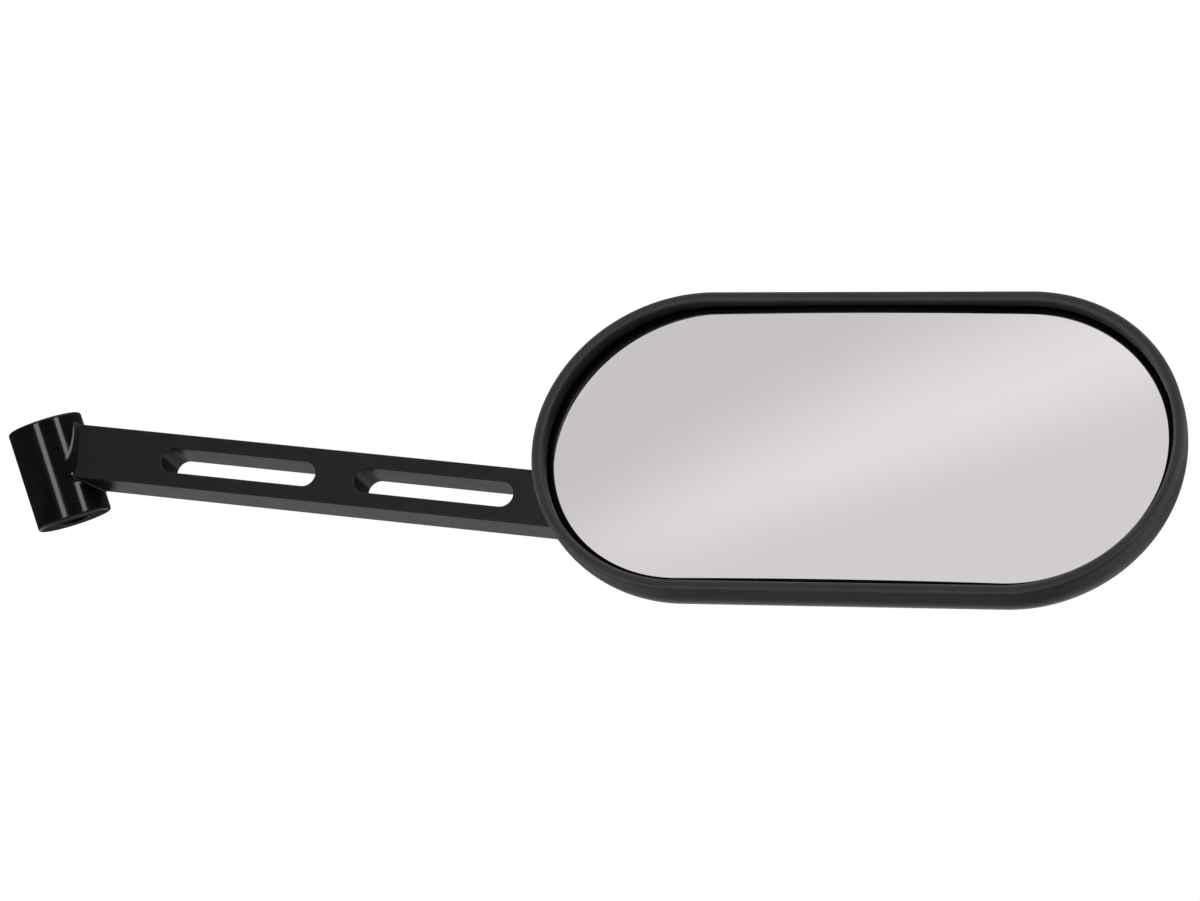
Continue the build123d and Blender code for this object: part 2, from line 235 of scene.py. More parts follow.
class MIRROR_PG_finish(PropertyGroup):
    """Colours of the finishes."""

    collar_black: tint("Collar Black", "Gloss paint on the collar", (0.0034, 0.0034, 0.0040))
    bar_black: tint("Bar Black", "Satin coat on the bar", (0.0050, 0.0049, 0.0064))
    shell_black: tint("Shell Black", "Moulded plastic of the head", (0.0250, 0.0242, 0.0256))
    # Black rubber, darkened past its own colour as painted shade, so the band round the glass reads as the rim's
    # shaded recess
    seal_shade_black: tint("Seal Black", "Rubber round the glass", (0.0012, 0.0012, 0.0013))
    silvering: tint("Silvering", "Metal coat behind the glass", (0.820, 0.777, 0.790))
    steel: tint("Steel", "Plated steel of the stud and its fastening", (0.56, 0.56, 0.57))
    acetal: tint("Acetal", "Slippery plastic of the ball seats", (0.70, 0.68, 0.62))
    carrier_black: tint("Carrier Black", "Tray behind the glass", (0.014, 0.014, 0.014))
    foam_grey: tint("Foam Grey", "Adhesive foam behind the glass", (0.09, 0.09, 0.095))


class MIRROR_PG_stage(PropertyGroup):
    """Floor, light and camera."""

    floor_drop: length("Floor Drop", "Floor below the collar's seat", 420)
    floor_radius: length("Floor Radius", "Size of the floor", 14000)
    clear_radius: length("Shadow Radius", "Floor round the mirror that shows its shadow", 900)
    ambient: FloatProperty(name="Ambient", description="Level of the studio's surround", default=0.36)
    key_power: power("Key Power", "Large soft lamp overhead", 13.0)
    side_power: power("Side Power", "Soft lamps at the sides", 18.0)
    strip_power: power("Strip Power", "Two narrow lamps for the collar's bright lines", 3.4)
    wall_level: FloatProperty(
        name="Wall Level", description="Paleness of the wall in front, which the glass reflects", default=0.62
    )
    camera_x: length("Camera X", "Camera's place along the head", 514.2)
    camera_back: length("Camera Back", "Camera's distance towards the rider", 1185.5)
    camera_z: length("Camera Z", "Camera's height", 20.5)
    camera_heading: angle("Camera Heading", "Camera's turn to the left", 16.65)
    camera_lens: FloatProperty(
        name="Lens", description="Focal length in millimetres", default=132, unit="CAMERA"
    )


def axes_at(origin, x_dir, z_dir):
    """Matrix of a frame from its origin, its x and its z."""
    x_dir = x_dir.normalized()
    z_dir = z_dir.normalized()
    y_dir = z_dir.cross(x_dir)
    return Matrix(
        [(x_dir[i], y_dir[i], z_dir[i], origin[i]) for i in range(3)] + [(0, 0, 0, 1)]
    )


def collar_place():
    """Frame of the collar: z along the bore, from the seat face."""
    return axes_at(Vector(), Vector((0, 1, 0)).cross(COLLAR_AXIS), COLLAR_AXIS)


def bar_place(stem, joint):
    """Frame of the bar: x along it from the collar's axis, z out of its front."""
    start = COLLAR_AXIS * stem.bar_level
    end = BALL_CENTRE - STUD_AXIS * (stem.bar_thickness / 2 + joint.stud_reach)
    return axes_at(start, end - start, STUD_AXIS), (end - start).length


def stud_place(stem, joint):
    """Frame of the stud: z along it, from the ball's centre."""
    bar, _ = bar_place(stem, joint)
    return axes_at(BALL_CENTRE, bar.col[0].xyz, STUD_AXIS)


def head_place(rise=0.0):
    """Frame of the head: x along the oval, z out of the glass, raised from the ball's centre."""
    return axes_at(BALL_CENTRE + HEAD_UP * rise, HEAD_RIGHT, HEAD_FRONT)


def glass_place(head):
    """Frame of the glass: the head's own, raised to the middle of the glass's face."""
    return head_place(head.rise) @ Matrix.Translation((0, 0, head.rim_rise - head.glass_sink))


def rounded(corners, steps=5):
    """Points of a profile whose corners (x, y, round) are rounded; the first and last may be ends."""
    points = []
    count = len(corners)
    for i, (x, y, radius) in enumerate(corners):
        here = Vector((x, y))
        if radius <= 0:
            points.append(here)
            continue
        before = (Vector(corners[i - 1][:2]) - here).normalized()
        after = (Vector(corners[(i + 1) % count][:2]) - here).normalized()
        half = before.angle(after) / 2
        centre = here + (before + after).normalized() * (radius / math.sin(half))
        start = here + before * (radius / math.tan(half)) - centre
        end = here + after * (radius / math.tan(half)) - centre
        turn = start.angle_signed(end)
        for k in range(steps + 1):
            swing = Matrix.Rotation(-turn * k / steps, 2)
            points.append(centre + swing @ start)
    return points


def rounded_block(x_low, x_high, y_low, y_high, edge):
    """Points of a rectangle with rounded corners."""
    corners = [(x_low, y_low), (x_high, y_low), (x_high, y_high), (x_low, y_high)]
    return rounded([(x, y, edge) for x, y in corners])


def arc(centre, radius_x, radius_y, start, end, steps):
    """Points of an elliptical arc; angles in degrees."""
    points = []
    for k in range(steps + 1):
        a = math.radians(start + (end - start) * k / steps)
        points.append(Vector((centre[0] + radius_x * math.cos(a), centre[1] + radius_y * math.sin(a))))
    return points


def turned(profile, steps, closed=True):
    """Vertices and faces of a profile (radius, z) turned about z; a point on the axis is a pole."""
    verts = []
    faces = []
    rings = []
    for radius, z in profile:
        first = len(verts)
        if radius < MERGE_DISTANCE:
            verts.append((0, 0, z))
            rings.append([first] * steps)
            continue
        for i in range(steps):
            a = 2 * math.pi * i / steps
            verts.append((radius * math.cos(a), radius * math.sin(a), z))
        rings.append(list(range(first, first + steps)))
    pairs = list(zip(rings, rings[1:]))
    if closed:
        pairs.append((rings[-1], rings[0]))
    for low, high in pairs:
        for i in range(steps):
            j = (i + 1) % steps
            ring_face = list(dict.fromkeys((low[i], low[j], high[j], high[i])))
            if len(ring_face) > 2:
                faces.append(ring_face)
    return verts, faces


def looped(rings):
    """Vertices and faces of a tube through closed rings of points, itself closed on its first ring."""
    verts = [tuple(point) for ring in rings for point in ring]
    size = len(rings[0])
    faces = []
    for r in range(len(rings)):
        low = r * size
        high = (r + 1) % len(rings) * size
        for i in range(size):
            j = (i + 1) % size
            faces.append((low + i, low + j, high + j, high + i))
    return verts, faces


def hexagon_body(width, bore_radius, low_z, high_z, steps=30):
    """Vertices and faces of a hexagon with a round bore and corners bevelled by a cone."""
    rings = []
    side = width / 2
    slope = math.tan(HEX_BEVEL)
    edge = width / 60
    for i in range(6 * steps):
        a = math.pi / 3 * i / steps
        reach = side / math.cos(a % (math.pi / 3) - math.pi / 6)
        drop = max((reach - side) * slope, edge / 2)
        profile = [
            (bore_radius, low_z + edge),
            (bore_radius + edge, low_z),
            (side - edge, low_z),
            (reach - edge / 3, low_z + drop),
            (reach, low_z + drop + edge / 2),
            (reach, high_z - drop - edge / 2),
            (reach - edge / 3, high_z - drop),
            (side - edge, high_z),
            (bore_radius + edge, high_z),
            (bore_radius, high_z - edge),
        ]
        rings.append([(r * math.cos(a), r * math.sin(a), z) for r, z in profile])
    return looped(rings)


def fillet_ring(section, normals, land, along, leg, run, steps=7):
    """Vertices and faces of a concave fillet between a straight prism and what it lands on.

    section and normals give the prism's outline, land drops a point onto the other surface, and
    along is the prism's direction away from it. The fillet goes out by leg and along by run.
    """
    rings = []
    for point, normal in zip(section, normals):
        corner = land(point)
        on_prism = corner + along * run
        on_wall = land(point + normal * leg)
        ring = []
        for k in range(steps + 1):
            s = k / steps
            ring.append(on_prism * (1 - s) ** 2 + corner * (2 * s * (1 - s)) + on_wall * s**2)
        ring.append(corner - (along + normal) * (leg / 3))
        rings.append(ring)
    return looped(rings)


def joined(*bodies):
    """Several (vertices, faces) as one."""
    verts = []
    faces = []
    for body_verts, body_faces in bodies:
        first = len(verts)
        verts.extend(body_verts)
        faces.extend([tuple(first + i for i in face) for face in body_faces])
    return verts, faces


def as_mesh(name, body, place):
    """A mesh from (vertices, faces), put in its place."""
    mesh = bpy.data.meshes.new(name)
    mesh.from_pydata(body[0], [], body[1])
    mesh.transform(place)
    return mesh


def add_piece(name, mesh, body, material, nodes=()):
    """Closes a mesh, points its faces outwards, gives it its finish and hangs it on its body."""
    tidy = bmesh.new()
    tidy.from_mesh(mesh)
    bmesh.ops.remove_doubles(tidy, verts=tidy.verts, dist=MERGE_DISTANCE)
    bmesh.ops.dissolve_degenerate(tidy, edges=tidy.edges, dist=MERGE_DISTANCE / 10)
    bmesh.ops.recalc_face_normals(tidy, faces=tidy.faces)
    tidy.to_mesh(mesh)
    tidy.free()
    mesh.materials.clear()
    mesh.materials.append(material)
    mesh.polygons.foreach_set("use_smooth", [True] * len(mesh.polygons))
    mesh.set_sharp_from_angle(angle=SHARP_ANGLE)
    piece = bpy.data.objects.new(name, mesh)
    bpy.context.scene.collection.objects.link(piece)
    weighting = piece.modifiers.new("flat_faces", "WEIGHTED_NORMAL")
    weighting.keep_sharp = True
    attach(piece, body)
    if nodes:
        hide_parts(*nodes)


def evaluated_mesh(obj, name):
    """A plain mesh of an object with its modifiers, after which the object is removed."""
    graph = bpy.context.evaluated_depsgraph_get()
    mesh = bpy.data.meshes.new_from_object(obj.evaluated_get(graph))
    mesh.name = name
    data = obj.data
    bpy.data.objects.remove(obj)
    if isinstance(data, bpy.types.Curve):
        bpy.data.curves.remove(data)
    else:
        bpy.data.meshes.remove(data)
    return mesh


def add_node(tree, kind, inputs=None, **settings):
    """A node with its settings and its inputs, which are values or other nodes' sockets."""
    node = tree.nodes.new(kind)
    for key, value in settings.items():
        setattr(node, key, value)
    for key, value in (inputs or {}).items():
        if isinstance(value, bpy.types.NodeSocket):
            tree.links.new(value, node.inputs[key])
        else:
            node.inputs[key].default_value = value
    return node


def maths(tree, operation, first, second=0.0):
    """Result of one step of arithmetic; each term is a value or a socket."""
    return add_node(tree, "ShaderNodeMath", {0: first, 1: second}, operation=operation).outputs[0]


def vector_maths(tree, operation, first, second=(0, 0, 0), result="Vector"):
    """Result of one step of vector arithmetic; each term is a vector or a socket."""
    node = add_node(tree, "ShaderNodeVectorMath", {0: first, 1: second}, operation=operation)
    return node.outputs[result]


def ramp(tree, value, source=(0.0, 1.0), target=(0.0, 1.0), smooth=False):
    """A socket brought from its source range to a target range, whose limits may be sockets too."""
    limits = zip(("From Min", "From Max", "To Min", "To Max"), source + target)
    kind = "SMOOTHSTEP" if smooth else "LINEAR"
    return add_node(
        tree, "ShaderNodeMapRange", {"Value": value, **dict(limits)}, interpolation_type=kind
    ).outputs[0]


def new_tree(name, kind, inputs, outputs):
    """A node group with named inputs and outputs, with its two end nodes."""
    tree = bpy.data.node_groups.new(name, kind)
    for side, sockets in (("INPUT", inputs), ("OUTPUT", outputs)):
        for label, content in sockets.items():
            tree.interface.new_socket(label, in_out=side, socket_type="NodeSocket" + content)
    return tree, tree.nodes.new("NodeGroupInput"), tree.nodes.new("NodeGroupOutput")


def finish_tree(tree, start, end, mesh_socket):
    """Ends a geometry tree: realised, smooth and with its material."""
    realised = add_node(tree, "GeometryNodeRealizeInstances", {"Geometry": mesh_socket})
    smooth = add_node(tree, "GeometryNodeSetShadeSmooth", {"Geometry": realised.outputs[0]})
    dressed = add_node(
        tree,
        "GeometryNodeSetMaterial",
        {"Geometry": smooth.outputs[0], "Material": start.outputs["Material"]},
    )
    tree.links.new(dressed.outputs[0], end.inputs[0])
    return tree


def oval_sweep_tree():
    """Sweeps a profile round an oval path and lets the result follow a crowned surface."""
    known = bpy.data.node_groups.get("oval_sweep")
    if known:
        return known
    tree, start, end = new_tree(
        "oval_sweep",
        "GeometryNodeTree",
        {
            "Profile": "Geometry",
            "Half Straight": "Float",
            "Radius": "Float",
            "Points": "Int",
            "Crown Radius": "Float",
            "Material": "Material",
        },
        {"Mesh": "Geometry"},
    )
    get = start.outputs
    straight = get["Half Straight"]
    crown = get["Crown Radius"]
    place = add_node(tree, "GeometryNodeInputPosition").outputs[0]
    along = add_node(tree, "ShaderNodeSeparateXYZ", {"Vector": place}).outputs["X"]

    # The path: a fine circle whose halves are moved apart, with its points spread evenly again
    fine = maths(tree, "MULTIPLY", get["Points"], CIRCLE_FINENESS)
    circle = add_node(
        tree, "GeometryNodeCurvePrimitiveCircle", {"Resolution": fine, "Radius": get["Radius"]}
    )
    shift = maths(tree, "MULTIPLY", maths(tree, "SIGN", along), straight)
    apart = add_node(tree, "ShaderNodeCombineXYZ", {"X": shift}).outputs[0]
    oval = add_node(tree, "GeometryNodeSetPosition", {"Geometry": circle.outputs[0], "Offset": apart})
    even = add_node(
        tree, "GeometryNodeResampleCurve", {"Curve": oval.outputs[0], "Count": get["Points"]}
    )

    # The profile stands square on the path, away from the nearest point of the oval's spine
    far_end = maths(tree, "MULTIPLY", straight, -1.0)
    nearest = add_node(tree, "ShaderNodeClamp", {"Value": along, "Min": far_end, "Max": straight})
    spine = add_node(tree, "ShaderNodeCombineXYZ", {"X": nearest.outputs[0]}).outputs[0]
    outward = vector_maths(tree, "NORMALIZE", vector_maths(tree, "SUBTRACT", place, spine))
    square_on = add_node(
        tree, "GeometryNodeSetCurveNormal", {"Curve": even.outputs[0], "Normal": outward}, mode="FREE"
    )
    swept = add_node(
        tree, "GeometryNodeCurveToMesh", {"Curve": square_on.outputs[0], "Profile Curve": get["Profile"]}
    )

    # The crown: every point sinks by as much as a sphere falls away there
    flat = vector_maths(tree, "MULTIPLY", place, (1, 1, 0))
    away = vector_maths(tree, "DOT_PRODUCT", flat, flat, "Value")
    rest = maths(tree, "SUBTRACT", maths(tree, "MULTIPLY", crown, crown), away)
    fall = maths(tree, "DIVIDE", away, maths(tree, "ADD", maths(tree, "SQRT", rest), crown))
    drop = add_node(tree, "ShaderNodeCombineXYZ", {"Z": maths(tree, "MULTIPLY", fall, -1.0)}).outputs[0]
    crowned = add_node(tree, "GeometryNodeSetPosition", {"Geometry": swept.outputs[0], "Offset": drop})
    merged = add_node(
        tree, "GeometryNodeMergeByDistance", {"Geometry": crowned.outputs[0], "Distance": MERGE_DISTANCE}
    )
    return finish_tree(tree, start, end, merged.outputs[0])


def coil_tree():
    """Sweeps a profile along a level coil, for a thread or a split washer."""
    known = bpy.data.node_groups.get("coil_sweep")
    if known:
        return known
    tree, start, end = new_tree(
        "coil_sweep",
        "GeometryNodeTree",
        {
            "Profile": "Geometry",
            "Radius": "Float",
            "Turns": "Float",
            "Rise": "Float",
            "Points": "Int",
            "Material": "Material",
        },
        {"Mesh": "Geometry"},
    )
    get = start.outputs
    coil = add_node(
        tree,
        "GeometryNodeCurveSpiral",
        {
            "Resolution": get["Points"],
            "Rotations": get["Turns"],
            "Start Radius": get["Radius"],
            "End Radius": get["Radius"],
            "Height": get["Rise"],
        },
    )
    level = add_node(tree, "GeometryNodeSetCurveNormal", {"Curve": coil.outputs[0]}, mode="Z_UP")
    swept = add_node(
        tree,
        "GeometryNodeCurveToMesh",
        {"Curve": level.outputs[0], "Profile Curve": get["Profile"], "Fill Caps": True},
    )
    return finish_tree(tree, start, end, swept.outputs[0])


def swept_mesh(name, tree, profile, closed, values):
    """A plain mesh that a geometry tree makes from a profile (outwards, up) and named values."""
    curve = bpy.data.curves.new(name, "CURVE")
    curve.dimensions = "2D"
    curve.fill_mode = "NONE"
    spline = curve.splines.new("POLY")
    spline.points.add(len(profile) - 1)
    for point, (out, up) in zip(spline.points, profile):
        point.co = (out, -up, 0, 1)
    spline.use_cyclic_u = closed
    carrier = bpy.data.objects.new(name, curve)
    bpy.context.scene.collection.objects.link(carrier)
    sweep = carrier.modifiers.new("sweep", "NODES")
    sweep.node_group = tree
    sockets = {item.name: item.identifier for item in tree.interface.items_tree if item.in_out == "INPUT"}
    for label, value in values.items():
        sweep[sockets[label]] = value
    return evaluated_mesh(carrier, name)


def mottle_group():
    """Soft cloudy change of colour and roughness over a surface."""
    known = bpy.data.node_groups.get("surface_mottle")
    if known:
        return known
    tree, start, end = new_tree(
        "surface_mottle",
        "ShaderNodeTree",
        {
            "Vector": "Vector",
            "Scale": "Float",
            "Dark": "Color",
            "Light": "Color",
            "Smooth": "Float",
            "Rough": "Float",
        },
        {"Color": "Color", "Roughness": "Float"},
    )
    get = start.outputs
    cloud = add_node(
        tree,
        "ShaderNodeTexNoise",
        {"Vector": get["Vector"], "Scale": get["Scale"], "Detail": 4.0, "Roughness": 0.55},
    )
    cover = ramp(tree, cloud.outputs[0], CLOUD_RANGE)
    # A colour mix has its two colours at sockets 6 and 7 and its result at 2
    colour = add_node(tree, "ShaderNodeMix", {0: cover, 6: get["Dark"], 7: get["Light"]}, data_type="RGBA")
    gloss = ramp(tree, cover, target=(get["Smooth"], get["Rough"]))
    tree.links.new(colour.outputs[2], end.inputs["Color"])
    tree.links.new(gloss, end.inputs["Roughness"])
    return tree


def grain_group():
    """Height of a fine pebbled grain, as moulds and powder coats leave."""
    known = bpy.data.node_groups.get("pebble_grain")
    if known:
        return known
    tree, start, end = new_tree(
        "pebble_grain",
        "ShaderNodeTree",
        {"Vector": "Vector", "Scale": "Float", "Fine": "Float"},
        {"Height": "Float"},
    )
    get = start.outputs
    pebble = add_node(
        tree,
        "ShaderNodeTexVoronoi",
        {"Vector": get["Vector"], "Scale": get["Scale"], "Smoothness": 0.6},
        feature="SMOOTH_F1",
    )
    dust_scale = maths(tree, "MULTIPLY", get["Scale"], DUST_FINENESS)
    dust = add_node(
        tree, "ShaderNodeTexNoise", {"Vector": get["Vector"], "Scale": dust_scale, "Detail": 3.0}
    )
    fine = maths(tree, "MULTIPLY", dust.outputs[0], get["Fine"])
    tree.links.new(maths(tree, "ADD", pebble.outputs["Distance"], fine), end.inputs["Height"])
    return tree


def shade(colour, factor):
    """A lighter or darker colour with an alpha."""
    return tuple(min(1.0, c * factor) for c in colour) + (1.0,)


# colour names a setting of MIRROR_PG_finish, spread is how far clouds darken and lighten it and clouds
# their scale; gloss is (smoothest, roughest) and grain is (scale, share of dust, depth in metres);
# constants go straight to the shader's own sockets, and the edge setting paints a highlight on the rounded edges
FINISHES = {
    "collar_gloss_paint": {
        "colour": "collar_black",
        "spread": 0.15,
        "clouds": 160,
        "gloss": (0.10, 0.16),
        "grain": (700, 0.3, 4e-6),
        "constants": {"Specular IOR Level": 0.35},
    },
    "bar_satin_coat": {
        "colour": "bar_black",
        "spread": 0.12,
        "clouds": 220,
        "gloss": (0.36, 0.40),
        "grain": (2600, 0.6, 3e-6),
        "constants": {"Specular IOR Level": 0.38},
    },
    "shell_moulded_plastic": {
        "colour": "shell_black",
        "spread": 0.10,
        "clouds": 140,
        "gloss": (0.46, 0.54),
        "grain": (2200, 0.8, 2e-5),
        "constants": {"Specular IOR Level": 0.14, "Sheen Weight": 0.22, "Sheen Roughness": 0.25},
        # Painted highlight: the shell's rounded rim edges are lightened as if they caught the light
        "edge_highlight": 1.8,
    },
    # Painted shade: near-black with almost no reflection, so the seal reads as the shade inside the rim's recess
    "seal_gloss_rubber": {
        "colour": "seal_shade_black",
        "spread": 0.2,
        "clouds": 300,
        "gloss": (0.2, 0.28),
        "grain": (1800, 0.4, 6e-6),
        "constants": {"Specular IOR Level": 0.02},
    },
    "silvered_glass": {
        "colour": "silvering",
        "spread": 0.006,
        "clouds": 45,
        "gloss": (0.012, 0.03),
        "constants": {"Metallic": 1.0},
    },
    "plated_steel": {
        "colour": "steel",
        "spread": 0.10,
        "clouds": 500,
        "gloss": (0.26, 0.38),
        "grain": (3000, 0.9, 6e-6),
        "constants": {"Metallic": 1.0},
    },
    "seat_acetal": {
        "colour": "acetal",
        "spread": 0.04,
        "clouds": 300,
        "gloss": (0.38, 0.46),
        "grain": (2500, 0.5, 8e-6),
    },
    "carrier_plastic": {
        "colour": "carrier_black",
        "spread": 0.1,
        "clouds": 180,
        "gloss": (0.5, 0.6),
        "grain": (1800, 0.6, 2e-5),
    },
    "foam_sheet": {
        "colour": "foam_grey",
        "spread": 0.3,
        "clouds": 900,
        "gloss": (0.85, 0.95),
        "grain": (1500, 0.7, 6e-5),
    },
}


def finish(name):
    """The material of a finish, made the first time that a piece asks for it."""
    return bpy.data.materials.get(name) or finish_material(name, **FINISHES[name])


def finish_material(name, colour, spread, clouds, gloss, grain=None, constants=None, edge_highlight=None):
    """A procedural material: a mottled colour, a mottled gloss, a grain and, where asked, a painted highlight on
    rounded edges.
    """
    material = bpy.data.materials.new(name)
    material.use_nodes = True
    tree = material.node_tree
    shader = tree.nodes["Principled BSDF"]
    where = add_node(tree, "ShaderNodeTexCoord").outputs["Object"]
    base = getattr(bpy.context.scene.mirror_finish, colour)
    mottle = add_node(
        tree,
        "ShaderNodeGroup",
        {
            "Vector": where,
            "Scale": clouds,
            "Dark": shade(base, 1 - spread),
            "Light": shade(base, 1 + spread),
            "Smooth": gloss[0],
            "Rough": gloss[1],
        },
        node_tree=mottle_group(),
    )
    skin = mottle.outputs["Color"]
    # Painted highlight: where the surface bends sharply, at rounded edges, the colour is lightened as if the edge
    # caught the light
    if edge_highlight:
        bend = add_node(tree, "ShaderNodeNewGeometry").outputs["Pointiness"]
        highlight_scale = ramp(tree, bend, EDGE_BEND, (1.0, edge_highlight))
        lit = add_node(tree, "ShaderNodeVectorMath", {0: skin, "Scale": highlight_scale}, operation="SCALE")
        skin = lit.outputs[0]
    tree.links.new(skin, shader.inputs["Base Color"])
    tree.links.new(mottle.outputs["Roughness"], shader.inputs["Roughness"])
    if grain:
        scale, fine, depth = grain
        pebble = add_node(
            tree, "ShaderNodeGroup", {"Vector": where, "Scale": scale, "Fine": fine}, node_tree=grain_group()
        )
        bump = add_node(
            tree, "ShaderNodeBump", {"Height": pebble.outputs["Height"], "Strength": 1.0, "Distance": depth}
        )
        tree.links.new(bump.outputs["Normal"], shader.inputs["Normal"])
    for socket, value in (constants or {}).items():
        shader.inputs[socket].default_value = value
    return material


class MIRROR_OT_collar(Operator):
    """Turn the mounting collar with its bore and its countersunk seat"""

    bl_idname = "mirror.collar"
    bl_label = "Mounting Collar"

    def execute(self, context):
        stem = context.scene.mirror_stem
        outer = stem.collar_diameter / 2 - HAIR
        bore = stem.bore_diameter / 2
        sink = stem.sink_diameter / 2
        top = stem.collar_length
        edge = stem.collar_round / 4
        profile = rounded(
            [
                (bore, 0, edge),
                (outer, 0, stem.collar_round),
                (outer, top, stem.collar_round),
                (sink, top, edge),
                (bore, top - (sink - bore), edge),
            ]
        )
        mesh = as_mesh("collar", turned(profile, steps=256), collar_place())
        add_piece("collar", mesh, "stem", finish("collar_gloss_paint"), ["mount_collar"])
        return {"FINISHED"}


def slot_outline(x_low, x_high, radius, steps=20):
    """A slot's outline, counter-clockwise."""
    points = arc((x_high - radius, 0), radius, radius, -90, 90, steps)
    points += arc((x_low + radius, 0), radius, radius, 90, 270, steps)
    return points


def outline_normals(points):
    """Outward normals of a counter-clockwise outline."""
    normals = []
    for i in range(len(points)):
        run = points[(i + 1) % len(points)] - points[i - 1]
        normals.append(Vector((run.y, -run.x)).normalized())
    return normals


class MIRROR_OT_bar(Operator):
    """Cut the flat bar with its slots, its round end and its broken edges"""

    bl_idname = "mirror.bar"
    bl_label = "Stem Bar"

    def execute(self, context):
        stem = context.scene.mirror_stem
        joint = context.scene.mirror_joint
        place, reach = bar_place(stem, joint)
        half = stem.bar_height / 2
        outline = [Vector((stem.bar_start, -half)), Vector((reach, -half))]
        outline += arc((reach, 0), half, half, -90, 90, steps=40)[1:-1]
        outline += [Vector((reach, half)), Vector((stem.bar_start, half))]
        holes = []
        for i in range(stem.slot_count):
            low = stem.slot_start + i * (stem.slot_length + stem.slot_web)
            holes.append(slot_outline(low, low + stem.slot_length, stem.slot_width / 2))
        shank = joint.shank_diameter / 2 + joint.shank_clear
        holes.append(arc((reach, 0), shank, shank, 0, 360, steps=48)[:-1])
        mesh = as_mesh("bar", self.plate(outline, holes, stem.bar_thickness / 2, stem.bar_round), place)
        add_piece("bar", mesh, "stem", finish("bar_satin_coat"), ["stem_bar"])
        return {"FINISHED"}

    def plate(self, outline, holes, half_t, edge):
        """Vertices and faces of a plate with holes, every edge rounded."""
        build = bmesh.new()
        steps = 4
        levels = []
        for k in range(steps + 1):
            a = math.pi / 2 * k / steps
            levels.append((edge * (1 - math.sin(a)), half_t - edge * (1 - math.cos(a))))
        levels += [(inset, -z) for inset, z in reversed(levels)]
        caps = ([], [])
        for number, contour in enumerate([outline] + holes):
            out = 1 if number == 0 else -1
            normals = outline_normals(contour)
            rings = []
            for inset, z in levels:
                ring = []
                for point, normal in zip(contour, normals):
                    x, y = point - normal * (inset * out)
                    ring.append(build.verts.new((x, y, z)))
                rings.append(ring)
            for upper, lower in zip(rings, rings[1:]):
                for i in range(len(contour)):
                    j = (i + 1) % len(contour)
                    build.faces.new((upper[i], upper[j], lower[j], lower[i]))
            for cap, ring in zip(caps, (rings[0], rings[-1])):
                for i in range(len(ring)):
                    cap.append(build.edges.get((ring[i], ring[(i + 1) % len(ring)])))
        for cap in caps:
            bmesh.ops.triangle_fill(build, use_beauty=True, use_dissolve=False, edges=cap)
        build.verts.index_update()
        verts = [tuple(v.co) for v in build.verts]
        faces = [tuple(v.index for v in face.verts) for face in build.faces]
        build.free()
        return verts, faces


class MIRROR_OT_weld(Operator):
    """Lay the dressed weld where the bar meets the collar"""

    bl_idname = "mirror.weld"
    bl_label = "Weld"

    def execute(self, context):
        stem = context.scene.mirror_stem
        place, _ = bar_place(stem, context.scene.mirror_joint)
        along = place.col[0].xyz
        up = place.col[1].xyz
        front = place.col[2].xyz
        half_h = stem.bar_height / 2
        half_t = stem.bar_thickness / 2
        corners = [(-half_t, -half_h), (half_t, -half_h), (half_t, half_h), (-half_t, half_h)]
        steps = 24
        outline = []
        for corner, following in zip(corners, corners[1:] + corners[:1]):
            start = Vector(corner)
            end = Vector(following)
            outline += [start.lerp(end, k / steps) for k in range(1, steps)]
        normals = outline_normals(outline)
        origin = place.translation
        section = [origin + front * p.x + up * p.y for p in outline]
        outward = [front * n.x + up * n.y for n in normals]
        radius = stem.collar_diameter / 2

        def land(point):
            """Where a line along the bar meets the collar's outside."""
            across = along - COLLAR_AXIS * along.dot(COLLAR_AXIS)
            offset = point - COLLAR_AXIS * point.dot(COLLAR_AXIS)
            a = across.dot(across)
            b = offset.dot(across)
            c = offset.dot(offset) - radius**2
            return point + along * ((math.sqrt(b * b - a * c) - b) / a)

        body = fillet_ring(section, outward, land, along, stem.weld_leg, stem.weld_run)
        mesh = as_mesh("weld", body, Matrix.Identity(4))
        add_piece("weld", mesh, "stem", finish("collar_gloss_paint"), ["weld_bead"])
        return {"FINISHED"}


